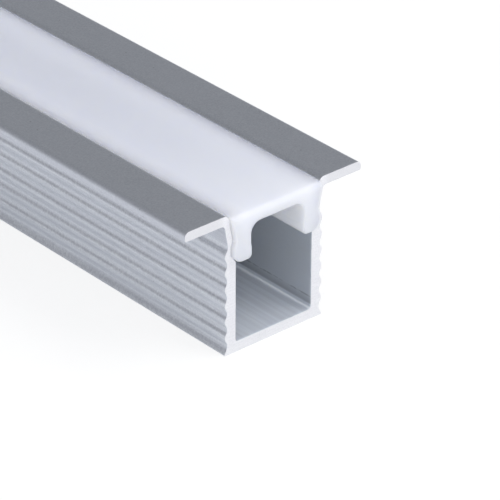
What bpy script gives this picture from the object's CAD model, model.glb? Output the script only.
# %% [markdown]
# # A recessed profile for a light strip
#
# The real object is two bars of almost one length. The first is an aluminium channel with ribs
# along its walls and a thin flange on each side. The second is a milky cover that clicks into the
# channel's mouth. Both were pushed through a die, so each keeps one cross-section from end to end.
#
# The part's exact solids come in first. They fix every size here: whatever is drawn in this lesson
# stays in the box that they fill, and rides on the body that they belong to.

# %% Load the exact part
import math

import bpy
from mathutils import Matrix, Vector


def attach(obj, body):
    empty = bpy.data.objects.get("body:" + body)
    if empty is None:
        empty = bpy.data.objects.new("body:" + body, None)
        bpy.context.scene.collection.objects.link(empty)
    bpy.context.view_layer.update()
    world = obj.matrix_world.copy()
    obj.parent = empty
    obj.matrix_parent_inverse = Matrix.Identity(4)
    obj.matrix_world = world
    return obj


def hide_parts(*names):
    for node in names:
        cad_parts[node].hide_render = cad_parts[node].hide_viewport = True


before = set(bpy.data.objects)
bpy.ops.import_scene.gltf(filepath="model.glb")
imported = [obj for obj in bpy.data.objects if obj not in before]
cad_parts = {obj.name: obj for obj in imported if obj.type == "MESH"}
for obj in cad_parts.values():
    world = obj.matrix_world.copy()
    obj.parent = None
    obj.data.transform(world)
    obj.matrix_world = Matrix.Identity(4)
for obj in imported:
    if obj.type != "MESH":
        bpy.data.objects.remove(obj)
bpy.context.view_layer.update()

MM = 0.001

# %% [markdown]
# ## Writing node trees by hand
#
# A tree of nodes could be drawn with the mouse, but a script can be read, changed and run again.
# One helper is enough for geometry and for materials: it adds a node, applies its settings, and
# fills each input with a plain value or with another node's output. The others are short names for
# nodes that come up again and again.

# %% Helpers for node trees
def fill(tree, node, inputs):
    """Give each input a plain value or another node's output."""
    for key, value in inputs.items():
        if isinstance(value, bpy.types.NodeSocket):
            tree.links.new(value, node.inputs[key])
        else:
            node.inputs[key].default_value = value
    return node


def place(tree, kind, inputs=None, **settings):
    """Add one node with its settings and its inputs."""
    made = tree.nodes.new(kind)
    for name, value in settings.items():
        setattr(made, name, value)
    return fill(tree, made, inputs or {})


def maths(tree, operation, first, second=0.0, third=0.0):
    """The result of one Math node."""
    made = place(tree, "ShaderNodeMath", {0: first, 1: second, 2: third}, operation=operation)
    return made.outputs[0]


def vector(tree, operation, first, second):
    """The result of one Vector Math node."""
    made = place(tree, "ShaderNodeVectorMath", {0: first, 1: second}, operation=operation)
    return made.outputs["Value" if operation in ("DOT_PRODUCT", "DISTANCE") else "Vector"]


def scaled(tree, arrow, size):
    """A vector made longer or shorter."""
    made = place(tree, "ShaderNodeVectorMath", {0: arrow, "Scale": size}, operation="SCALE")
    return made.outputs["Vector"]


def point(tree, x, y, z):
    """Three numbers as one position."""
    return place(tree, "ShaderNodeCombineXYZ", {0: x, 1: y, 2: z}).outputs[0]


def axes_of(tree, arrow):
    """The X, Y and Z of a vector."""
    return place(tree, "ShaderNodeSeparateXYZ", {0: arrow}).outputs


# %% [markdown]
# Geometry trees need a few more. A field such as the position is read afresh by whichever node uses
# it, so it stands for each point in turn. Numbers that must outlive a step are stored on the points
# under a name.

# %% Helpers for geometry trees
FLOAT, WHOLE, MATERIAL = "NodeSocketFloat", "NodeSocketInt", "NodeSocketMaterial"


def here(tree):
    """Where each point lies."""
    return place(tree, "GeometryNodeInputPosition").outputs[0]


def set_position(tree, geometry, **move):
    """Put each point at a Position, or shift it by an Offset."""
    return place(tree, "GeometryNodeSetPosition", {"Geometry": geometry, **move}).outputs[0]


def stored(tree, name, data_type="FLOAT"):
    """Read an attribute that travels with the geometry."""
    made = place(tree, "GeometryNodeInputNamedAttribute", {"Name": name}, data_type=data_type)
    return made.outputs[0]


def store(tree, geometry, name, value, data_type="FLOAT"):
    """Write an attribute onto the geometry's points."""
    made = place(
        tree,
        "GeometryNodeStoreNamedAttribute",
        {"Geometry": geometry, "Name": name, "Value": value},
        data_type=data_type,
        domain="POINT",
    )
    return made.outputs[0]


def new_tree(name, sizes):
    """A Geometry Nodes tree with geometry in, named sizes in, and geometry out."""
    tree = bpy.data.node_groups.new(name, "GeometryNodeTree")
    tree.interface.new_socket("Geometry", in_out="INPUT", socket_type="NodeSocketGeometry")
    for label, kind, value in sizes:
        socket = tree.interface.new_socket(label, in_out="INPUT", socket_type=kind)
        if value is not None:
            socket.default_value = value
    tree.interface.new_socket("Geometry", in_out="OUTPUT", socket_type="NodeSocketGeometry")
    entrance = tree.nodes.new("NodeGroupInput").outputs
    return tree, entrance


def close_tree(tree, geometry):
    """Lead the finished geometry to the tree's output."""
    tree.links.new(geometry, tree.nodes.new("NodeGroupOutput").inputs[0])
    print("tree", tree.name, "has", len(tree.nodes), "nodes")


def use_tree(tree, group, inputs):
    """Use one tree inside another."""
    made = place(tree, "GeometryNodeGroup", node_tree=group)
    return fill(tree, made, inputs).outputs[0]


# %% [markdown]
# ## From corners to a smooth outline
#
# A die maker draws a section as corners, each with its own radius. The same can be done here. Each
# corner is a loose point that carries two numbers: its turn in the order round the section, and
# its radius. The tree mirrors the right half, strings the points into one closed curve and rounds
# every corner. A traced drawing would work too, but then no single size could be changed.

# %% The tree that rounds an outline
LAST_TURN = 100.0


def next_spot(tree):
    """Where the curve's next point lies."""
    index = place(tree, "GeometryNodeInputIndex").outputs[0]
    next_point = place(tree, "GeometryNodeOffsetPointInCurve", {"Point Index": index, "Offset": 1})
    return place(
        tree,
        "GeometryNodeFieldAtIndex",
        {"Value": here(tree), "Index": next_point.outputs["Point Index"]},
        data_type="FLOAT_VECTOR",
        domain="POINT",
    ).outputs[0]


def round_corners(tree, curve, steps):
    """Give each corner of a closed curve an arc of its own stored radius."""
    radius = stored(tree, "corner_radius")
    made = place(
        tree,
        "GeometryNodeFilletCurve",
        {"Curve": curve, "Count": steps, "Radius": radius, "Limit Radius": True},
        mode="POLY",
    )
    return made.outputs[0]


outline_tree, entrance = new_tree(
    "rounded_outline",
    [("Arc Steps", WHOLE, 6), ("Longest Run", FLOAT, 0.1 * MM), ("End Radius", FLOAT, 0.1 * MM)],
)
axes = axes_of(outline_tree, here(outline_tree))
left_spot = point(outline_tree, maths(outline_tree, "MULTIPLY", axes[0], -1.0), axes[1], axes[2])
left_half = set_position(outline_tree, entrance["Geometry"], Position=left_spot)
left_turn = maths(outline_tree, "SUBTRACT", LAST_TURN, stored(outline_tree, "corner_turn"))
left_half = store(outline_tree, left_half, "corner_turn", left_turn)
both_halves = place(outline_tree, "GeometryNodeJoinGeometry")
outline_tree.links.new(entrance["Geometry"], both_halves.inputs[0])
outline_tree.links.new(left_half, both_halves.inputs[0])
strung = place(
    outline_tree,
    "GeometryNodePointsToCurves",
    {"Points": both_halves.outputs[0], "Weight": stored(outline_tree, "corner_turn")},
).outputs[0]
closed = place(
    outline_tree, "GeometryNodeSetSplineCyclic", {"Geometry": strung, "Cyclic": True}
).outputs[0]
rounded = round_corners(outline_tree, closed, entrance["Arc Steps"])
print("the outline takes", len(outline_tree.nodes), "nodes up to its rounded corners")

# %% [markdown]
# The rim of an end needs a second, smaller outline to round off to. Each corner moves inwards far
# enough for its two neighbouring runs to move by the end radius. An outer corner's own radius
# shrinks by as much, an inner corner's grows. Both outlines have the same number of points, so each
# point of the first can remember where its partner in the second is.

# %% The smaller outline for the rim
SMALLEST_RADIUS = 0.02 * MM

bisector = place(outline_tree, "GeometryNodeInputTangent").outputs[0]
to_next = vector(outline_tree, "SUBTRACT", next_spot(outline_tree), here(outline_tree))
ahead = vector(outline_tree, "NORMALIZE", to_next, (0, 0, 0))
lean = vector(outline_tree, "DOT_PRODUCT", bisector, ahead)
slope = axes_of(outline_tree, bisector)
inward = point(outline_tree, maths(outline_tree, "MULTIPLY", slope[2], -1.0), 0.0, slope[0])
turns_left = maths(outline_tree, "SIGN", vector(outline_tree, "DOT_PRODUCT", inward, ahead))
inner_radius = maths(
    outline_tree,
    "SUBTRACT",
    stored(outline_tree, "corner_radius"),
    maths(outline_tree, "MULTIPLY", turns_left, entrance["End Radius"]),
)
inner_radius = maths(outline_tree, "MAXIMUM", inner_radius, SMALLEST_RADIUS)
inner = store(outline_tree, closed, "corner_radius", inner_radius)
move = scaled(outline_tree, inward, maths(outline_tree, "DIVIDE", entrance["End Radius"], lean))
inner = set_position(outline_tree, inner, Offset=move)
inner = round_corners(outline_tree, inner, entrance["Arc Steps"])
index = place(outline_tree, "GeometryNodeInputIndex").outputs[0]
partner = place(
    outline_tree,
    "GeometryNodeSampleIndex",
    {"Geometry": inner, "Value": here(outline_tree), "Index": index},
    data_type="FLOAT_VECTOR",
    domain="POINT",
).outputs[0]
rim_move = vector(outline_tree, "SUBTRACT", partner, here(outline_tree))
rounded = store(outline_tree, rounded, "rim_move", rim_move, "FLOAT_VECTOR")
run = vector(outline_tree, "DISTANCE", here(outline_tree), next_spot(outline_tree))
cuts = maths(outline_tree, "FLOOR", maths(outline_tree, "DIVIDE", run, entrance["Longest Run"]))
divided = place(
    outline_tree, "GeometryNodeSubdivideCurve", {"Curve": rounded, "Cuts": cuts}
).outputs[0]
close_tree(outline_tree, divided)

# %% [markdown]
# ## From an outline to a bar
#
# The outline is swept along the bar's length. Sawn or cut ends are never knife sharp: the rim is
# eased a little. A Bevel modifier could do it, but it struggles on a rim with hundreds of short
# edges, so the sweep makes the rim itself. First comes its path. The rows lie closer together at
# both ends, as along a quarter circle, and each row remembers how far behind the end it lies.

# %% The path of the sweep
bar_tree, entrance = new_tree(
    "swept_bar",
    [
        ("Length", FLOAT, 150 * MM),
        ("End Radius", FLOAT, 0.1 * MM),
        ("Top End Radius", FLOAT, 0.1 * MM),
        ("Top Height", FLOAT, 10 * MM),
        ("Top Band", FLOAT, 1 * MM),
        ("End Steps", WHOLE, 4),
        ("Rows", WHOLE, 40),
        ("Rag", FLOAT, 0.0),
        ("Rag Size", FLOAT, 0.4 * MM),
        ("Seed", FLOAT, 0.0),
    ],
)
half_length = maths(bar_tree, "MULTIPLY", entrance["Length"], 0.5)
line = place(
    bar_tree,
    "GeometryNodeCurvePrimitiveLine",
    {"Start": (0.0, -1.0, 0.0), "End": (0.0, 1.0, 0.0)},
).outputs[0]
rows = place(
    bar_tree, "GeometryNodeResampleCurve", {"Curve": line, "Count": entrance["Rows"]}, mode="COUNT"
).outputs[0]
row = place(bar_tree, "GeometryNodeInputIndex").outputs[0]
last_row = maths(bar_tree, "SUBTRACT", entrance["Rows"], 1.0)
middle_row = maths(bar_tree, "MULTIPLY", last_row, 0.5)
from_end = maths(bar_tree, "MINIMUM", row, maths(bar_tree, "SUBTRACT", last_row, row))
share = maths(bar_tree, "DIVIDE", from_end, entrance["End Steps"])
turn = maths(bar_tree, "MULTIPLY", maths(bar_tree, "MINIMUM", share, 1.0), math.pi / 2)
depth_share = maths(bar_tree, "SUBTRACT", 1.0, maths(bar_tree, "COSINE", turn))
plain_rows = maths(bar_tree, "SUBTRACT", middle_row, entrance["End Steps"])
plain_length = maths(bar_tree, "SUBTRACT", half_length, entrance["Top End Radius"])
past_rim = maths(bar_tree, "SUBTRACT", from_end, entrance["End Steps"])
past_rim = maths(bar_tree, "MAXIMUM", past_rim, 0.0)
plain_share = maths(bar_tree, "POWER", maths(bar_tree, "DIVIDE", past_rim, plain_rows), 2.0)
depth = maths(
    bar_tree,
    "ADD",
    maths(bar_tree, "MULTIPLY", depth_share, entrance["Top End Radius"]),
    maths(bar_tree, "MULTIPLY", plain_share, plain_length),
)
side = maths(bar_tree, "SIGN", maths(bar_tree, "SUBTRACT", row, middle_row))
along = maths(bar_tree, "MULTIPLY", side, maths(bar_tree, "SUBTRACT", half_length, depth))
path = set_position(bar_tree, rows, Position=point(bar_tree, 0.0, along, 0.0))
path = store(bar_tree, path, "depth", depth)
path = place(bar_tree, "GeometryNodeSetCurveNormal", {"Curve": path}, mode="Z_UP").outputs[0]
print("the path takes", len(bar_tree.nodes), "nodes")

# %% [markdown]
# The outline was drawn standing up, in X and Z, but a profile curve has to lie flat. So its Z goes
# to its Y, with the sign turned round, before it is swept along the path.

# %% The sweep
profile_axes = axes_of(bar_tree, here(bar_tree))
turned_down = maths(bar_tree, "MULTIPLY", profile_axes[2], -1.0)
flat_spot = point(bar_tree, profile_axes[0], turned_down, 0.0)
flat_profile = set_position(bar_tree, entrance["Geometry"], Position=flat_spot)
swept = place(
    bar_tree,
    "GeometryNodeCurveToMesh",
    {"Curve": path, "Profile Curve": flat_profile, "Fill Caps": True},
).outputs[0]
print("with the sweep it takes", len(bar_tree.nodes), "nodes")

# %% [markdown]
# Now the rim. Near an end each point steps inwards, towards its partner on the smaller outline, as
# far as a circle of the end radius asks at its depth. The step can be a little uneven, as a saw
# leaves it. The top band of the section may sink further than the rest, for a cover that is worn
# softer at its top edge. It sinks straight down, because a larger step towards the partners would
# fold the small corners over.

# %% The rim of both ends
WELD = 0.001 * MM
SHARP_FROM = math.radians(35)


def rim_inset(tree, radius):
    """How far a rim of this radius steps inwards at the stored depth."""
    to_centre = maths(tree, "SUBTRACT", radius, stored(tree, "depth"))
    to_centre = maths(tree, "MAXIMUM", to_centre, 0.0)
    centre_squared = maths(tree, "MULTIPLY", to_centre, to_centre)
    out_squared = maths(tree, "SUBTRACT", maths(tree, "MULTIPLY", radius, radius), centre_squared)
    reach = maths(tree, "SQRT", maths(tree, "MAXIMUM", out_squared, 0.0))
    return maths(tree, "SUBTRACT", radius, reach)


rag_noise = place(
    bar_tree,
    "ShaderNodeTexNoise",
    {
        "Scale": maths(bar_tree, "DIVIDE", 1.0, entrance["Rag Size"]),
        "W": entrance["Seed"],
        "Detail": 3.0,
        "Roughness": 0.6,
    },
    noise_dimensions="4D",
).outputs[0]
rag = maths(bar_tree, "MULTIPLY_ADD", rag_noise, entrance["Rag"], 1.0)
inward = scaled(
    bar_tree,
    stored(bar_tree, "rim_move", "FLOAT_VECTOR"),
    maths(bar_tree, "DIVIDE", 1.0, entrance["End Radius"]),
)
inset = rim_inset(bar_tree, entrance["End Radius"])
push = scaled(bar_tree, inward, maths(bar_tree, "MULTIPLY", inset, rag))
eased = set_position(bar_tree, swept, Offset=push)

swept_height = axes_of(bar_tree, here(bar_tree))[2]
band_foot = maths(bar_tree, "SUBTRACT", entrance["Top Height"], entrance["Top Band"])
above_foot = maths(bar_tree, "SUBTRACT", swept_height, band_foot)
in_band = maths(bar_tree, "DIVIDE", above_foot, entrance["Top Band"])
in_band = maths(bar_tree, "MINIMUM", maths(bar_tree, "MAXIMUM", in_band, 0.0), 1.0)
top_drop = maths(bar_tree, "SUBTRACT", inset, rim_inset(bar_tree, entrance["Top End Radius"]))
top_push = point(bar_tree, 0.0, 0.0, maths(bar_tree, "MULTIPLY", top_drop, in_band))
eased = set_position(bar_tree, eased, Offset=top_push)

welded = place(
    bar_tree, "GeometryNodeMergeByDistance", {"Geometry": eased, "Distance": WELD}
).outputs[0]
corner = place(bar_tree, "GeometryNodeInputMeshEdgeAngle").outputs["Unsigned Angle"]
is_sharp = place(
    bar_tree, "FunctionNodeCompare", {"A": corner, "B": SHARP_FROM}, operation="GREATER_THAN"
).outputs[0]
smooth = place(
    bar_tree,
    "GeometryNodeSetShadeSmooth",
    {"Geometry": welded, "Shade Smooth": True},
    domain="FACE",
).outputs[0]
smooth = place(
    bar_tree,
    "GeometryNodeSetShadeSmooth",
    {"Geometry": smooth, "Selection": is_sharp, "Shade Smooth": False},
    domain="EDGE",
).outputs[0]
close_tree(bar_tree, smooth)

# %% [markdown]
# ## Turning a tree's result into a plain piece
#
# A modifier stays live in Blender, but a piece that is handed on has to be a plain mesh. So the
# loose corner points get the modifier, the evaluated result is copied into a new mesh, and the
# modifier goes with the corner points.

# %% Helpers for pieces
WORKING_ATTRIBUTES = ("corner_radius", "corner_turn", "depth", "rim_move")


def in_order(corners, first_turn):
    """Give corners of x, z and radius their turns in the order round the section."""
    return [(x, z, radius, first_turn + step) for step, (x, z, radius) in enumerate(corners)]


def corner_cloud(name, corners):
    """Loose points from rows of x, z, radius in millimetres and turn."""
    mesh = bpy.data.meshes.new(name)
    mesh.from_pydata([(x * MM, 0.0, z * MM) for x, z, radius, turn in corners], [], [])
    radii = mesh.attributes.new("corner_radius", "FLOAT", "POINT")
    turns = mesh.attributes.new("corner_turn", "FLOAT", "POINT")
    for number, (x, z, radius, turn) in enumerate(corners):
        radii.data[number].value = radius * MM
        turns.data[number].value = turn
    cloud = bpy.data.objects.new(name, mesh)
    bpy.context.scene.collection.objects.link(cloud)
    return cloud


def grown(cloud, tree, sizes, name):
    """Run a tree on a point cloud and keep the result as a plain mesh object."""
    modifier = cloud.modifiers.new("grow", "NODES")
    modifier.node_group = tree
    for socket in tree.interface.items_tree:
        if socket.in_out == "INPUT" and socket.name in sizes:
            modifier[socket.identifier] = sizes[socket.name]
    graph = bpy.context.evaluated_depsgraph_get()
    mesh = bpy.data.meshes.new_from_object(cloud.evaluated_get(graph), depsgraph=graph)
    mesh.name = name
    cloud.modifiers.remove(modifier)
    bpy.data.objects.remove(cloud)
    for attribute in WORKING_ATTRIBUTES:
        if attribute in mesh.attributes:
            mesh.attributes.remove(mesh.attributes[attribute])
    piece = bpy.data.objects.new(name, mesh)
    bpy.context.scene.collection.objects.link(piece)
    mesh.calc_loop_triangles()
    low = [min(v.co[axis] for v in mesh.vertices) / MM for axis in range(3)]
    high = [max(v.co[axis] for v in mesh.vertices) / MM for axis in range(3)]
    print(name, "has", len(mesh.loop_triangles), "triangles")
    print("from", [round(v, 3) for v in low], "to", [round(v, 3) for v in high], "mm")
    return piece


# %% [markdown]
# ## The sizes
#
# These are the part's own sizes in millimetres, with the same names as in its construction. The
# origin is at the middle of the channel's underside, Y runs along the bars and Z points out of the
# light side. A few are drawn a little differently here, because they show. The flange's tip is
# rounder above and crisper below. The cover lies closer to the mouth that grips it, and the ends of
# its top are softer.

# %% Sizes of the channel
channel_length = 150.0
channel_height = 16.2
inner_half = 10.2 / 2
wall_thickness = 1.13
floor_thickness = 1.2
floor_corner_radius = 0.35
bottom_corner_radius = 0.15
foot_flare = 0.15

flange_reach = 5.2
flange_thickness = 1.05
flange_top_radius = 0.55
flange_under_radius = 0.2
flange_root_radius = 0.5
flange_root_flare = 0.1

rib_depth = 0.27
valley_count = 7
lowest_valley_height = 1.15
plain_wall_depth = 2.75

valley_half = inner_half + wall_thickness
body_half = valley_half + rib_depth
flange_half = body_half + flange_reach
flange_underside = channel_height - flange_thickness
highest_valley_height = flange_underside - plain_wall_depth
print("body", round(2 * body_half, 2), "mm wide, flanges", round(2 * flange_half, 2), "mm wide")

# %% Sizes of the mouth
lip_half = inner_half + 1.0
lip_radius = 0.7
ridge_half = inner_half + 0.42
ridge_depth = 3.0
ridge_radius = 0.3
pocket_half = inner_half + 0.68
pocket_top_drop = 0.8
pocket_height = 1.0
pocket_top_radius = 0.2
pocket_bottom_radius = 0.5
step_drop = 0.85
step_radius = 0.25

ridge_height = channel_height - ridge_depth
pocket_top = ridge_height - pocket_top_drop
pocket_bottom = pocket_top - pocket_height
step_height = pocket_bottom - step_drop
mouth = [
    (lip_half, channel_height, lip_radius),
    (ridge_half, ridge_height, ridge_radius),
    (pocket_half, pocket_top, pocket_top_radius),
    (pocket_half, pocket_bottom, pocket_bottom_radius),
    (inner_half, step_height, step_radius),
]
print("the mouth is", round(2 * ridge_half, 2), "mm wide at its ridge")

# %% Sizes of the cover
cover_clearance = 0.006
cover_overhang = 0.65
cover_drop = 0.2
cover_thickness = 1.4
cover_edge_radius = 0.25
cover_end_radius = 0.22
cover_top_end_radius = 0.6
cover_top_band = 1.2
leg_thickness = 1.98
leg_root_radius = 1.2
leg_waist_height = 1.8
neck_radius = 0.3
barb_radius = 0.25
foot_lift = 0.12
foot_bulge = 0.1
foot_bulge_height = 1.2
foot_bulge_radius = 0.8
foot_inner_radius = 0.55
foot_outer_radius = 1.1

cover_top = channel_height - cover_drop
cover_length = channel_length + 2 * cover_overhang
print("the cover is", round(cover_length, 2), "mm long")

# %% [markdown]
# ## Patterns for materials
#
# Each finish below is made of noises in real sizes. A noise's values gather round 0.5, so a narrow
# range of them makes crisp marks and a wide range soft ones. All patterns read the piece's own
# coordinates, so they stay in place when a piece moves. A picture could be laid over the pieces
# instead, but it would blur close up and need a map of the surface first.

# %% Helpers for materials
SOFTEST = (0.3, 0.7)
SOFT = (0.35, 0.65)
CRISP = (0.4, 0.6)
LINES = (0.38, 0.6)
SPOTS = (0.45, 0.7)
MIX_SHARE, MIX_FIRST, MIX_SECOND, MIX_RESULT = 0, 6, 7, 2


def new_material(name):
    """A material with an empty tree."""
    material = bpy.data.materials.new(name)
    material.use_nodes = True
    material.node_tree.nodes.clear()
    return material, material.node_tree


def object_space(tree, scale=(1.0, 1.0, 1.0), turn=(0.0, 0.0, 0.0)):
    """The piece's own coordinates in metres, stretched or turned."""
    spot = place(tree, "ShaderNodeTexCoord").outputs["Object"]
    inputs = {"Vector": spot, "Scale": scale, "Rotation": turn}
    return place(tree, "ShaderNodeMapping", inputs).outputs[0]


def drawn_out(tree, share):
    """Coordinates that draw a pattern out along the bar, the more the smaller the share."""
    return object_space(tree, scale=(1.0, share, 1.0))


def noise(tree, space, size_mm, detail=2.0, roughness=0.5):
    """Noise whose features are about size_mm across."""
    return place(
        tree,
        "ShaderNodeTexNoise",
        {"Vector": space, "Scale": 1.0 / (size_mm * MM), "Detail": detail, "Roughness": roughness},
    ).outputs[0]


def remap(tree, value, low, high, to_low, to_high):
    """Move a value from one range to another, and stop at its ends."""
    made = place(tree, "ShaderNodeMapRange", {0: value, 1: low, 2: high, 3: to_low, 4: to_high})
    return made.outputs[0]


def remap_mm(tree, distance, low, high, to_low, to_high):
    """The same for a distance, between two lengths in millimetres."""
    return remap(tree, distance, low * MM, high * MM, to_low, to_high)


def both(tree, first, second):
    """The share of the surface where two masks hold."""
    return maths(tree, "MULTIPLY", first, second)


def blend(tree, share, first, second):
    """Mix two colours."""
    made = place(tree, "ShaderNodeMix", data_type="RGBA", blend_type="MIX")
    return fill(tree, made, {MIX_SHARE: share, MIX_FIRST: first, MIX_SECOND: second}).outputs[MIX_RESULT]


def facing_axes(tree):
    """The X, Y and Z of the way that the surface faces."""
    return axes_of(tree, place(tree, "ShaderNodeNewGeometry").outputs["Normal"])


def bump(tree, depth_mm, height):
    """Fine relief, depth_mm deep where the height goes from 0 to 1."""
    inputs = {"Strength": 1.0, "Distance": depth_mm * MM, "Height": height}
    return place(tree, "ShaderNodeBump", inputs).outputs[0]


def finish_surface(tree, shader):
    """Lead the shader to the material's output."""
    output = tree.nodes.new("ShaderNodeOutputMaterial")
    tree.links.new(shader.outputs[0], output.inputs["Surface"])


# %% [markdown]
# ## Satin anodised aluminium
#
# Anodising leaves a grey, slightly blue skin with a fine even grain, like very fine sandpaper.
# Under it run faint lines along the bar, drawn by the die. A plain metal shader would look like
# chrome paint, so the grain and the lines change the colour and the roughness a little.

# %% Grain and die lines
PALE_SKIN = (0.94, 0.965, 1.0, 1)
DARK_SKIN = (0.75, 0.775, 0.825, 1)
LINE_TONE = (0.78, 0.80, 0.85, 1)
CLOUD_TONE = (0.87, 0.89, 0.94, 1)

anodised, tree = new_material("satin_anodised_aluminium")
plain = object_space(tree)
grain = noise(tree, plain, size_mm=0.19, detail=3.0, roughness=0.65)
die_lines = noise(tree, drawn_out(tree, 0.02), size_mm=0.28, detail=3.0)
clouds = noise(tree, plain, size_mm=9.0)
tone = blend(tree, remap(tree, grain, *SOFTEST, 0.0, 1.0), DARK_SKIN, PALE_SKIN)
tone = blend(tree, remap(tree, die_lines, *SOFT, 0.0, 0.25), tone, LINE_TONE)
tone = blend(tree, remap(tree, clouds, *SOFT, 0.0, 0.2), tone, CLOUD_TONE)
gloss = maths(
    tree,
    "ADD",
    remap(tree, grain, *SOFTEST, 0.34, 0.42),
    remap(tree, die_lines, *SOFTEST, -0.02, 0.02),
)
print("grain and die lines take", len(tree.nodes), "nodes")

# %% [markdown]
# Inside the channel the skin looks paler and less grainy, because its light has bounced between the
# walls. Its floor has wide faint lines. A bright line marks the rounded corner between floor and
# wall, and the wall is darker towards the floor, with a thin patchy seam a little above it. All of
# these follow the bar, so two distances are enough to find them: to the wall and to the floor.

# %% The skin inside the channel
PALE_INSIDE = (0.91, 0.955, 1.0, 1)
FLOOR_LINE_TONE = (0.6, 0.62, 0.67, 1)
CORNER_TONE = (0.95, 0.98, 1.0, 1)
SEAM_TONE = (0.1, 0.1, 0.11, 1)
SEAM_HEIGHT = 1.36 * MM

axes = axes_of(tree, plain)
from_middle = maths(tree, "ABSOLUTE", axes[0])
to_wall = maths(tree, "SUBTRACT", inner_half * MM, from_middle)
to_floor = maths(tree, "SUBTRACT", axes[2], floor_thickness * MM)
from_corner = maths(tree, "MAXIMUM", to_wall, to_floor)
past_wall = remap_mm(tree, to_wall, -0.05, -0.02, 0.0, 1.0)
past_floor = remap_mm(tree, to_floor, -0.05, -0.02, 0.0, 1.0)
on_inside = both(tree, past_wall, past_floor)
on_floor = both(tree, on_inside, remap_mm(tree, to_floor, 0.02, 0.05, 1.0, 0.0))
on_wall = both(tree, on_inside, remap_mm(tree, to_floor, 0.4, 0.6, 0.0, 1.0))
in_corner = both(tree, on_inside, remap_mm(tree, from_corner, 0.14, 0.2, 1.0, 0.0))

tone = blend(tree, maths(tree, "MULTIPLY", on_inside, 0.8), tone, PALE_INSIDE)
wide_lines = noise(tree, drawn_out(tree, 0.006), size_mm=0.6, detail=3.0)
floor_lines = both(tree, on_floor, remap(tree, wide_lines, *LINES, 0.36, 0.0))
tone = blend(tree, floor_lines, tone, FLOOR_LINE_TONE)
tone = blend(tree, in_corner, tone, CORNER_TONE)

from_seam = maths(tree, "ABSOLUTE", maths(tree, "SUBTRACT", to_floor, SEAM_HEIGHT))
patches = noise(tree, drawn_out(tree, 0.5), size_mm=0.45, detail=3.0)
seam = both(
    tree,
    remap_mm(tree, from_seam, 0.05, 0.2, 0.6, 0.0),
    remap(tree, patches, *CRISP, 0.45, 1.0),
)
towards_floor = remap_mm(tree, to_floor, 1.3, 9.0, 0.3, 0.0)
below_seam = remap_mm(tree, to_floor, 0.5, 1.5, 0.26, 0.0)
low_shade = maths(tree, "ADD", towards_floor, below_seam)
dark = maths(tree, "MAXIMUM", seam, low_shade)
tone = blend(tree, both(tree, dark, on_wall), tone, SEAM_TONE)
print("with the inside it takes", len(tree.nodes), "nodes")

# %% [markdown]
# Outside, the skin has a dark pit here and there. The ribbed walls are a little duller, with streaks
# along the bar and dust on the slopes of the valleys, and they darken close below the flange. The
# flange's rounded edge is duller too.

# %% The skin outside the channel
PIT_TONE = (0.2, 0.21, 0.23, 1)
DUST_TONE = (0.40, 0.41, 0.49, 1)

on_outside = maths(tree, "SUBTRACT", 1.0, on_inside)
to_pit = place(
    tree, "ShaderNodeTexVoronoi", {"Vector": plain, "Scale": 1.0 / (1.7 * MM), "Randomness": 1.0}
).outputs["Distance"]
pit = both(tree, remap(tree, to_pit, 0.03, 0.07, 1.0, 0.0), on_outside)
tone = blend(tree, maths(tree, "MULTIPLY", pit, 0.35), tone, PIT_TONE)

facing = facing_axes(tree)
upright = remap(tree, maths(tree, "ABSOLUTE", facing[0]), 0.6, 0.8, 0.0, 1.0)
below_flange = remap_mm(tree, axes[2], flange_underside - 0.2, flange_underside, 1.0, 0.0)
on_side = both(tree, both(tree, on_outside, upright), below_flange)
fine_lines = noise(tree, drawn_out(tree, 0.006), size_mm=0.2)
streaks = remap(tree, fine_lines, *LINES, 0.2, 0.0)
close_below = remap_mm(tree, axes[2], flange_underside - 3.4, flange_underside, 0.0, 0.4)
specks = noise(tree, plain, size_mm=0.3, detail=3.0, roughness=0.7)
on_slope = remap(tree, facing[2], 0.05, 0.35, 0.0, 1.0)
dust = both(tree, on_slope, remap(tree, specks, *CRISP, 0.0, 0.3))
for share in (streaks, close_below, dust):
    tone = blend(tree, both(tree, on_side, share), tone, DUST_TONE)
flange_edge = remap_mm(tree, from_middle, flange_half - 0.5, flange_half - 0.1, 0.0, 1.0)
tone = blend(tree, maths(tree, "MULTIPLY", flange_edge, 0.2), tone, DUST_TONE)
for mask, duller in ((flange_edge, 0.2), (on_side, 0.08), (in_corner, -0.06)):
    gloss = maths(tree, "MULTIPLY_ADD", mask, duller, gloss)
print("with the outside it takes", len(tree.nodes), "nodes")

# %% [markdown]
# The shader is nearly all metal. Inside the channel part of it is not: the light there has bounced
# many times before it comes out, and a share of plain, matt reflection shows that better than pure
# metal does. Grain, die lines and pits also make the relief, a few thousandths of a millimetre.

# %% The skin's relief and shader
LINE_HEIGHT = 0.05

lines_and_pits = maths(tree, "SUBTRACT", maths(tree, "MULTIPLY", die_lines, LINE_HEIGHT), pit)
relief = maths(tree, "ADD", grain, lines_and_pits)
matt_share = both(tree, on_inside, remap(tree, facing[2], 0.3, 0.9, 0.23, 0.5))
matt_share = maths(tree, "MULTIPLY_ADD", in_corner, 0.5, matt_share)
metal = maths(tree, "SUBTRACT", 1.0, matt_share)
shader = place(
    tree,
    "ShaderNodeBsdfPrincipled",
    {
        "Base Color": tone,
        "Metallic": metal,
        "Roughness": gloss,
        "Normal": bump(tree, depth_mm=0.004, height=relief),
    },
)
finish_surface(tree, shader)
print("anodised skin has", len(tree.nodes), "nodes")

# %% [markdown]
# ## Sawn aluminium
#
# The bar is cut to length after anodising, so the ends show bare metal. It is whiter than the
# skin, and the saw blade leaves fine, nearly parallel scratches, which are a noise stretched along
# the blade's way across the end. Grit breaks them up. The thin flanges shake under the blade, so
# their cut is rougher and looks darker.

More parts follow.
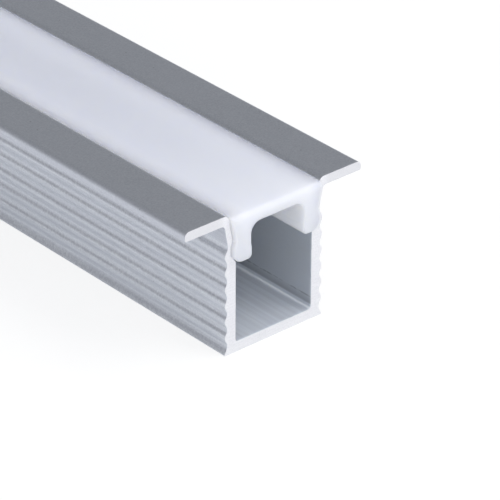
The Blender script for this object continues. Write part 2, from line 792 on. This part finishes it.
# %% The sawn ends
PALE_CUT = (0.915, 0.91, 0.918, 1)
DARK_CUT = (0.86, 0.86, 0.872, 1)
GRIT_TONE = (0.76, 0.755, 0.77, 1)
FLANGE_CUT = (0.70, 0.695, 0.70, 1)
BLADE_TILT = math.radians(24)

sawn, tree = new_material("sawn_aluminium")
plain = object_space(tree)
blade_way = object_space(tree, scale=(0.06, 1.0, 1.0), turn=(0.0, BLADE_TILT, 0.0))
scratches = noise(tree, blade_way, size_mm=0.16, detail=4.0, roughness=0.6)
grit = noise(tree, plain, size_mm=0.2, detail=3.0)
tone = blend(tree, remap(tree, scratches, *SOFT, 0.0, 1.0), DARK_CUT, PALE_CUT)
tone = blend(tree, remap(tree, grit, *SPOTS, 0.0, 0.5), tone, GRIT_TONE)
from_middle = maths(tree, "ABSOLUTE", axes_of(tree, plain)[0])
on_flange = remap_mm(tree, from_middle, body_half, body_half + 0.8, 0.0, 0.5)
tone = blend(tree, on_flange, tone, FLANGE_CUT)
relief = maths(
    tree, "ADD", maths(tree, "MULTIPLY", scratches, 0.8), maths(tree, "MULTIPLY", grit, 0.4)
)
shader = place(
    tree,
    "ShaderNodeBsdfPrincipled",
    {
        "Base Color": tone,
        "Metallic": 0.25,
        "Roughness": remap(tree, scratches, *SOFTEST, 0.5, 0.64),
        "Normal": bump(tree, depth_mm=0.003, height=relief),
    },
)
finish_surface(tree, shader)
print("sawn ends have", len(tree.nodes), "nodes")

# %% [markdown]
# ## Milky plastic
#
# The cover has to hide the strip's single lamps, so it scatters light inside. Subsurface
# scattering does that: light goes in, wanders a few millimetres and comes out again, which makes
# thin edges glow. Blue wanders a little less far than red and green, or the edges would look beige.
# Where the plastic is thin or stands free it loses less light, so the legs' inner faces, the top's
# long edges and the sides beyond the channel are paler. The surface is smooth, with hardly visible
# lines from the die.

# %% The opal cover's plastic
OPAL = (0.895, 0.905, 0.972, 1)
HAZY_OPAL = (0.91, 0.92, 0.977, 1)
PALE_OPAL = (0.985, 0.99, 1.0, 1)

opal, tree = new_material("opal_plastic")
plain = object_space(tree)
haze = noise(tree, plain, size_mm=14.0)
die_lines = noise(tree, drawn_out(tree, 0.015), size_mm=0.5)
speckle = noise(tree, plain, size_mm=0.25)
tone = blend(tree, remap(tree, haze, *SOFT, 0.0, 1.0), OPAL, HAZY_OPAL)

across, along, up = axes_of(tree, plain)
from_middle = maths(tree, "ABSOLUTE", across)
outwards = maths(tree, "MULTIPLY", facing_axes(tree)[0], maths(tree, "SIGN", across))
leg_inner_face = remap(tree, outwards, -0.8, -0.4, 1.0, 0.0)
near_edge = remap_mm(tree, from_middle, inner_half - 1.6, inner_half + 0.8, 0.0, 1.0)
near_top = remap_mm(tree, up, channel_height - 1.2, channel_height - 0.4, 0.0, 1.0)
top_edge = both(tree, near_edge, near_top)
end_plane = channel_length / 2
from_centre = maths(tree, "ABSOLUTE", along)
past_channel = remap_mm(tree, from_centre, end_plane, end_plane + 0.3, 0.0, 1.0)
bare_side = both(tree, past_channel, remap(tree, outwards, 0.1, 0.5, 0.0, 1.0))
paler = maths(tree, "MAXIMUM", maths(tree, "MAXIMUM", leg_inner_face, top_edge), bare_side)
tone = blend(tree, paler, tone, PALE_OPAL)

gloss = maths(
    tree,
    "ADD",
    remap(tree, speckle, *SOFTEST, 0.42, 0.48),
    remap(tree, die_lines, *SOFTEST, -0.02, 0.02),
)
relief = maths(
    tree, "ADD", maths(tree, "MULTIPLY", die_lines, 0.7), maths(tree, "MULTIPLY", speckle, 0.3)
)
shader = place(
    tree,
    "ShaderNodeBsdfPrincipled",
    {
        "Base Color": tone,
        "Roughness": gloss,
        "Normal": bump(tree, depth_mm=0.003, height=relief),
        "Subsurface Weight": 1.0,
        "Subsurface Radius": (1.0, 0.96, 0.82),
        "Subsurface Scale": 5.0 * MM,
        "IOR": 1.5,
    },
)
finish_surface(tree, shader)
print("opal plastic has", len(tree.nodes), "nodes")

# %% [markdown]
# ## The ribbed channel
#
# Seven valleys run along each outer wall, with rounded ribs between them: they let glue or the
# groove's edge grip. They follow a rule, one spacing and one depth, so the tree makes them from
# named sizes. Each valley and each crest is one corner point with a large radius, and the arcs
# meet halfway, so the wall becomes a smooth wave.

# %% The wave of valleys and crests
WAVE_TURN = 1.0
WAVE_TURN_STEP = 0.01

channel_tree, entrance = new_tree(
    "ribbed_channel",
    [
        ("Length", FLOAT, channel_length * MM),
        ("Valleys", WHOLE, valley_count),
        ("Lowest Valley", FLOAT, lowest_valley_height * MM),
        ("Highest Valley", FLOAT, highest_valley_height * MM),
        ("Valley Half Width", FLOAT, valley_half * MM),
        ("Rib Depth", FLOAT, rib_depth * MM),
        ("End Radius", FLOAT, 0.012 * MM),
        ("Skin", MATERIAL, None),
        ("Sawn End", MATERIAL, None),
    ],
)
gaps = maths(channel_tree, "SUBTRACT", entrance["Valleys"], 1.0)
rise = maths(channel_tree, "SUBTRACT", entrance["Highest Valley"], entrance["Lowest Valley"])
pitch = maths(channel_tree, "DIVIDE", rise, gaps)
double_depth = maths(channel_tree, "MULTIPLY", entrance["Rib Depth"], 2.0)
steepness = maths(channel_tree, "DIVIDE", double_depth, pitch)
slope_angle = maths(channel_tree, "MULTIPLY", maths(channel_tree, "ARCTANGENT", steepness), 2.0)
quarter_pitch = maths(channel_tree, "MULTIPLY", pitch, 0.25)
swing = maths(channel_tree, "MULTIPLY", quarter_pitch, maths(channel_tree, "TANGENT", slope_angle))
wave_radius = maths(channel_tree, "DIVIDE", quarter_pitch, maths(channel_tree, "SINE", slope_angle))
half_depth = maths(channel_tree, "MULTIPLY", entrance["Rib Depth"], 0.5)
middle = maths(channel_tree, "ADD", entrance["Valley Half Width"], half_depth)
number = place(channel_tree, "GeometryNodeInputIndex").outputs[0]
is_crest = maths(channel_tree, "MODULO", number, 2.0)
to_crest = maths(channel_tree, "SUBTRACT", maths(channel_tree, "MULTIPLY", is_crest, 2.0), 1.0)
wave_x = maths(channel_tree, "ADD", middle, maths(channel_tree, "MULTIPLY", swing, to_crest))
half_pitch = maths(channel_tree, "MULTIPLY", pitch, 0.5)
climb = maths(channel_tree, "MULTIPLY", number, half_pitch)
wave_z = maths(channel_tree, "ADD", entrance["Lowest Valley"], climb)
wave_count = maths(channel_tree, "ADD", maths(channel_tree, "MULTIPLY", gaps, 2.0), 1.0)
wave = place(
    channel_tree,
    "GeometryNodePoints",
    {"Count": wave_count, "Position": point(channel_tree, wave_x, 0.0, wave_z)},
).outputs[0]
wave = store(channel_tree, wave, "corner_radius", wave_radius)
turn_of_wave = maths(channel_tree, "MULTIPLY", number, WAVE_TURN_STEP)
turn_of_wave = maths(channel_tree, "ADD", WAVE_TURN, turn_of_wave)
wave = store(channel_tree, wave, "corner_turn", turn_of_wave)
print("the wave takes", len(channel_tree.nodes), "nodes")

# %% [markdown]
# The other corners come in as loose points. They join the wave, the outline tree rounds them all
# and the bar tree sweeps the result. Where a face looks along the bar it was sawn, and gets the
# sawn metal.

# %% The channel's tree
SAWN_FROM = 0.3

corner_points = place(
    channel_tree, "GeometryNodeMeshToPoints", {"Mesh": entrance["Geometry"]}
).outputs[0]
right_half = place(channel_tree, "GeometryNodeJoinGeometry")
channel_tree.links.new(corner_points, right_half.inputs[0])
channel_tree.links.new(wave, right_half.inputs[0])
section = use_tree(
    channel_tree,
    outline_tree,
    {"Geometry": right_half.outputs[0], "Arc Steps": 8, "End Radius": entrance["End Radius"]},
)
bar = use_tree(
    channel_tree,
    bar_tree,
    {
        "Geometry": section,
        "Length": entrance["Length"],
        "End Radius": entrance["End Radius"],
        "Top End Radius": entrance["End Radius"],
        "End Steps": 2,
        "Rows": 36,
        "Rag": 1.2,
        "Rag Size": 0.35 * MM,
        "Seed": 4.0,
    },
)
bar = place(channel_tree, "GeometryNodeRealizeInstances", {"Geometry": bar}).outputs[0]
looks = place(channel_tree, "GeometryNodeInputNormal").outputs[0]
looks_along = maths(channel_tree, "ABSOLUTE", axes_of(channel_tree, looks)[1])
was_sawn = place(
    channel_tree,
    "FunctionNodeCompare",
    {"A": looks_along, "B": SAWN_FROM},
    operation="GREATER_THAN",
).outputs[0]
bar = place(
    channel_tree, "GeometryNodeSetMaterial", {"Geometry": bar, "Material": entrance["Skin"]}
).outputs[0]
bar = place(
    channel_tree,
    "GeometryNodeSetMaterial",
    {"Geometry": bar, "Selection": was_sawn, "Material": entrance["Sawn End"]},
).outputs[0]
close_tree(channel_tree, bar)

# %% [markdown]
# The corners that follow no rule are listed once, for the right side only. The foot comes before
# the wave in the order. The flange, the mouth and the corner of the inside floor come after it.

# %% Grow the channel
AFTER_WAVE = 2.0

foot = [(body_half + foot_flare, 0.0, bottom_corner_radius)]
flange = [
    (body_half + flange_root_flare, flange_underside, flange_root_radius),
    (flange_half, flange_underside, flange_under_radius),
    (flange_half, channel_height, flange_top_radius),
]
floor_corner = [(inner_half, floor_thickness, floor_corner_radius)]
channel_corners = in_order(foot, 0.0) + in_order(flange + mouth + floor_corner, AFTER_WAVE)
channel = grown(
    corner_cloud("channel_corners", channel_corners),
    channel_tree,
    {"Skin": anodised, "Sawn End": sawn},
    "ribbed_channel",
)
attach(channel, "channel")
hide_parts("channel_extrusion")

# %% [markdown]
# ## The opal cover
#
# The cover's legs follow the mouth with a small clearance all the way down: past the sloping lip,
# under the ridge and into the pocket. So its corners are worked out from the mouth's corners. Its
# ends are softly rounded, most of all along the top, and it stands a little out of the channel at
# both ends.

# %% The cover's corners
def shifted(start, end, gap):
    """A straight run of the section, moved sideways by the gap."""
    run = math.hypot(end[0] - start[0], end[1] - start[1])
    across = -(end[1] - start[1]) / run * gap
    up = (end[0] - start[0]) / run * gap
    return (start[0] + across, start[1] + up), (end[0] + across, end[1] + up)


def crossing(first, second):
    """The point where two straight runs cross."""
    (ax, az), (bx, bz) = first
    (cx, cz), (dx, dz) = second
    turn = (bx - ax) * (dz - cz) - (bz - az) * (dx - cx)
    share = ((cx - ax) * (dz - cz) - (cz - az) * (dx - cx)) / turn
    return ax + share * (bx - ax), az + share * (bz - az)


wall_line = [(x, z) for x, z, radius in mouth] + [(inner_half, floor_thickness)]
runs = [shifted(a, b, -cover_clearance) for a, b in zip(wall_line, wall_line[1:])]
neck, barb_top, barb_bottom, foot_limit = [crossing(a, b) for a, b in zip(runs, runs[1:])]
lip_lean = (lip_half - ridge_half) / ridge_depth
edge_half = neck[0] + lip_lean * (cover_top - neck[1])
foot_lean = (barb_bottom[0] - foot_limit[0]) / (barb_bottom[1] - foot_limit[1])
foot_half = foot_limit[0] + foot_lean * foot_lift
foot_height = foot_limit[1] + foot_lift
leg_inside = neck[0] - leg_thickness
foot_inside = leg_inside - foot_bulge
cover_corners = [
    (leg_inside, cover_top - cover_thickness, leg_root_radius),
    (leg_inside, foot_height + leg_waist_height, foot_bulge_radius),
    (foot_inside, foot_height + foot_bulge_height, foot_bulge_radius),
    (foot_inside, foot_height, foot_inner_radius),
    (foot_half, foot_height, foot_outer_radius),
    (*barb_bottom, barb_radius),
    (*barb_top, barb_radius),
    (*neck, neck_radius),
    (edge_half, cover_top, cover_edge_radius),
]
print("half width at the top:", round(edge_half, 2), "mm, foot at", round(foot_height, 2), "mm")

# %% Grow the cover
cover_tree, entrance = new_tree(
    "opal_cover_bar",
    [
        ("Length", FLOAT, cover_length * MM),
        ("End Radius", FLOAT, cover_end_radius * MM),
        ("Top End Radius", FLOAT, cover_top_end_radius * MM),
        ("Plastic", MATERIAL, None),
    ],
)
corner_points = place(
    cover_tree, "GeometryNodeMeshToPoints", {"Mesh": entrance["Geometry"]}
).outputs[0]
section = use_tree(
    cover_tree,
    outline_tree,
    {"Geometry": corner_points, "Arc Steps": 8, "End Radius": entrance["End Radius"]},
)
bar = use_tree(
    cover_tree,
    bar_tree,
    {
        "Geometry": section,
        "Length": entrance["Length"],
        "End Radius": entrance["End Radius"],
        "Top End Radius": entrance["Top End Radius"],
        "Top Height": cover_top * MM,
        "Top Band": cover_top_band * MM,
        "End Steps": 14,
        "Rows": 60,
    },
)
bar = place(cover_tree, "GeometryNodeRealizeInstances", {"Geometry": bar}).outputs[0]
bar = place(
    cover_tree, "GeometryNodeSetMaterial", {"Geometry": bar, "Material": entrance["Plastic"]}
).outputs[0]
close_tree(cover_tree, bar)
cover = grown(
    corner_cloud("cover_corners", in_order(cover_corners, 0.0)),
    cover_tree,
    {"Plastic": opal},
    "opal_diffuser",
)
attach(cover, "cover")
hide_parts("opal_cover")

# %% [markdown]
# ## The floor
#
# The floor shows nearly white to the camera and keeps a faint shadow. So the camera sees a darker
# paint with a glow under it, which softens the shadow, while light that bounces sees plain white
# paint. The sky's light is a little blue, and slightly yellow paint makes up for it. Reflections
# see a dim floor, a little brighter far off, where the ribs mirror it, and brighter still in front
# of the near end, where the cut metal does.

# %% The floor
FLOOR_HALF = 4.0
FELT_WHITE = 0.82
SHOWN_WHITE = 0.27
YELLOWING = 0.96
SHOWN_GLOW = 0.777

floor_mesh = bpy.data.meshes.new("floor")
floor_corners = [(-1, -1), (1, -1), (1, 1), (-1, 1)]
floor_mesh.from_pydata(
    [(x * FLOOR_HALF, y * FLOOR_HALF, 0) for x, y in floor_corners], [], [(0, 1, 2, 3)]
)
floor = bpy.data.objects.new("floor", floor_mesh)
bpy.context.scene.collection.objects.link(floor)
floor_paint, tree = new_material("white_floor")
rays = place(tree, "ShaderNodeLightPath").outputs
spot = object_space(tree)
shade = maths(tree, "MULTIPLY_ADD", rays["Is Camera Ray"], SHOWN_WHITE - FELT_WHITE, FELT_WHITE)
blue_shade = maths(tree, "MULTIPLY", shade, YELLOWING)
paint = place(tree, "ShaderNodeBsdfDiffuse", {"Color": point(tree, shade, shade, blue_shade)})
in_front = remap(tree, axes_of(tree, spot)[1], -0.13, -0.08, 0.6, 0.0)
far_off = remap(tree, vector(tree, "DISTANCE", spot, (0.0, 0.0, 0.0)), 0.12, 0.4, 0.08, 0.22)
mirrored = maths(tree, "MULTIPLY", rays["Is Glossy Ray"], maths(tree, "MAXIMUM", in_front, far_off))
strength = maths(tree, "MULTIPLY_ADD", rays["Is Camera Ray"], SHOWN_GLOW, mirrored)
glow = place(tree, "ShaderNodeEmission", {"Color": (1, 1, 1, 1), "Strength": strength})
finish_surface(tree, place(tree, "ShaderNodeAddShader", {0: paint.outputs[0], 1: glow.outputs[0]}))
floor_mesh.materials.append(floor_paint)
print("floor", 2 * FLOOR_HALF, "m wide")

# %% [markdown]
# ## The sky
#
# To the camera and in reflections the sky is white at the horizon and a mid grey higher up, which
# is what the tops of the flanges mirror. The light that it gives off is an even, faintly blue grey.

# %% The sky
HORIZON = (1.0, 1.0, 1.0, 1)
HIGH_UP = (0.225, 0.232, 0.246, 1)
FELT_LIGHT = (0.585, 0.605, 0.685, 1)
HORIZON_BAND = 0.16


def seen_directly(tree):
    """1 for rays from the camera, off gloss and through glass, 0 for light that bounces about."""
    rays = place(tree, "ShaderNodeLightPath").outputs
    seen = maths(tree, "MAXIMUM", rays["Is Camera Ray"], rays["Is Glossy Ray"])
    return maths(tree, "MAXIMUM", seen, rays["Is Transmission Ray"])


sky = bpy.data.worlds.new("studio_sky")
sky.use_nodes = True
bpy.context.scene.world = sky
tree = sky.node_tree
tree.nodes.clear()
way = place(tree, "ShaderNodeTexCoord").outputs["Generated"]
above_horizon = remap(tree, axes_of(tree, way)[2], 0.0, HORIZON_BAND, 0.0, 1.0)
shown = blend(tree, above_horizon, HORIZON, HIGH_UP)
light = blend(tree, seen_directly(tree), FELT_LIGHT, shown)
background = place(tree, "ShaderNodeBackground", {"Color": light, "Strength": 1.0})
sky_output = tree.nodes.new("ShaderNodeOutputWorld")
tree.links.new(background.outputs[0], sky_output.inputs["Surface"])
print("sky has", len(tree.nodes), "nodes")

# %% [markdown]
# ## Two soft lamps
#
# One large soft lamp hangs above the near end, to the right, and lights the top and the cut end. A
# wider one stands in front at the left and lights the ribbed wall. Both are weak, so that each
# colour shows about as it is written.

# %% Lamps
def soft_lamp(name, place_at, look_at, size, watts):
    """A square area lamp that looks at a point."""
    lamp = bpy.data.lights.new(name, "AREA")
    lamp.shape = "SQUARE"
    lamp.size = size
    lamp.energy = watts
    holder = bpy.data.objects.new(name, lamp)
    holder.location = place_at
    looks_at = Vector(look_at) - Vector(place_at)
    holder.rotation_euler = looks_at.to_track_quat("-Z", "Y").to_euler()
    bpy.context.scene.collection.objects.link(holder)
    print("lamp", name, watts, "W")


soft_lamp("overhead_softbox", (0.14, -0.24, 0.32), (0.0, -0.06, 0.0), size=0.22, watts=0.53)
soft_lamp("front_softbox", (-0.3, -0.42, 0.14), (0.0, -0.06, 0.01), size=0.3, watts=0.63)

# %% [markdown]
# ## The camera
#
# The camera's place and lens were worked out from the straight edges of the cut end in the
# photograph: it stands 0.4 m away, left of the bar's axis, and looks about 30 degrees down through
# a long lens. Two directions fix how it is turned, the one ahead and the one to its right.

# %% Camera
camera_data = bpy.data.cameras.new("camera")
camera_data.sensor_width = 36.0
camera_data.lens = 248.8
camera_data.clip_start = 0.01
camera_data.clip_end = 20.0
camera = bpy.data.objects.new("camera", camera_data)
bpy.context.scene.collection.objects.link(camera)
camera_spot = (-0.200836, -0.301577, 0.182476)
ahead = Vector((0.57112, 0.65484, -0.49498)).normalized()
right = Vector((0.75539, -0.65525, 0.00472)).normalized()
turned = Matrix((right, right.cross(ahead), -ahead)).transposed().to_4x4()
camera.matrix_world = Matrix.Translation(camera_spot) @ turned
bpy.context.scene.camera = camera
bpy.context.scene.view_settings.view_transform = "Standard"
print("camera with a lens of", round(camera_data.lens, 1), "mm")
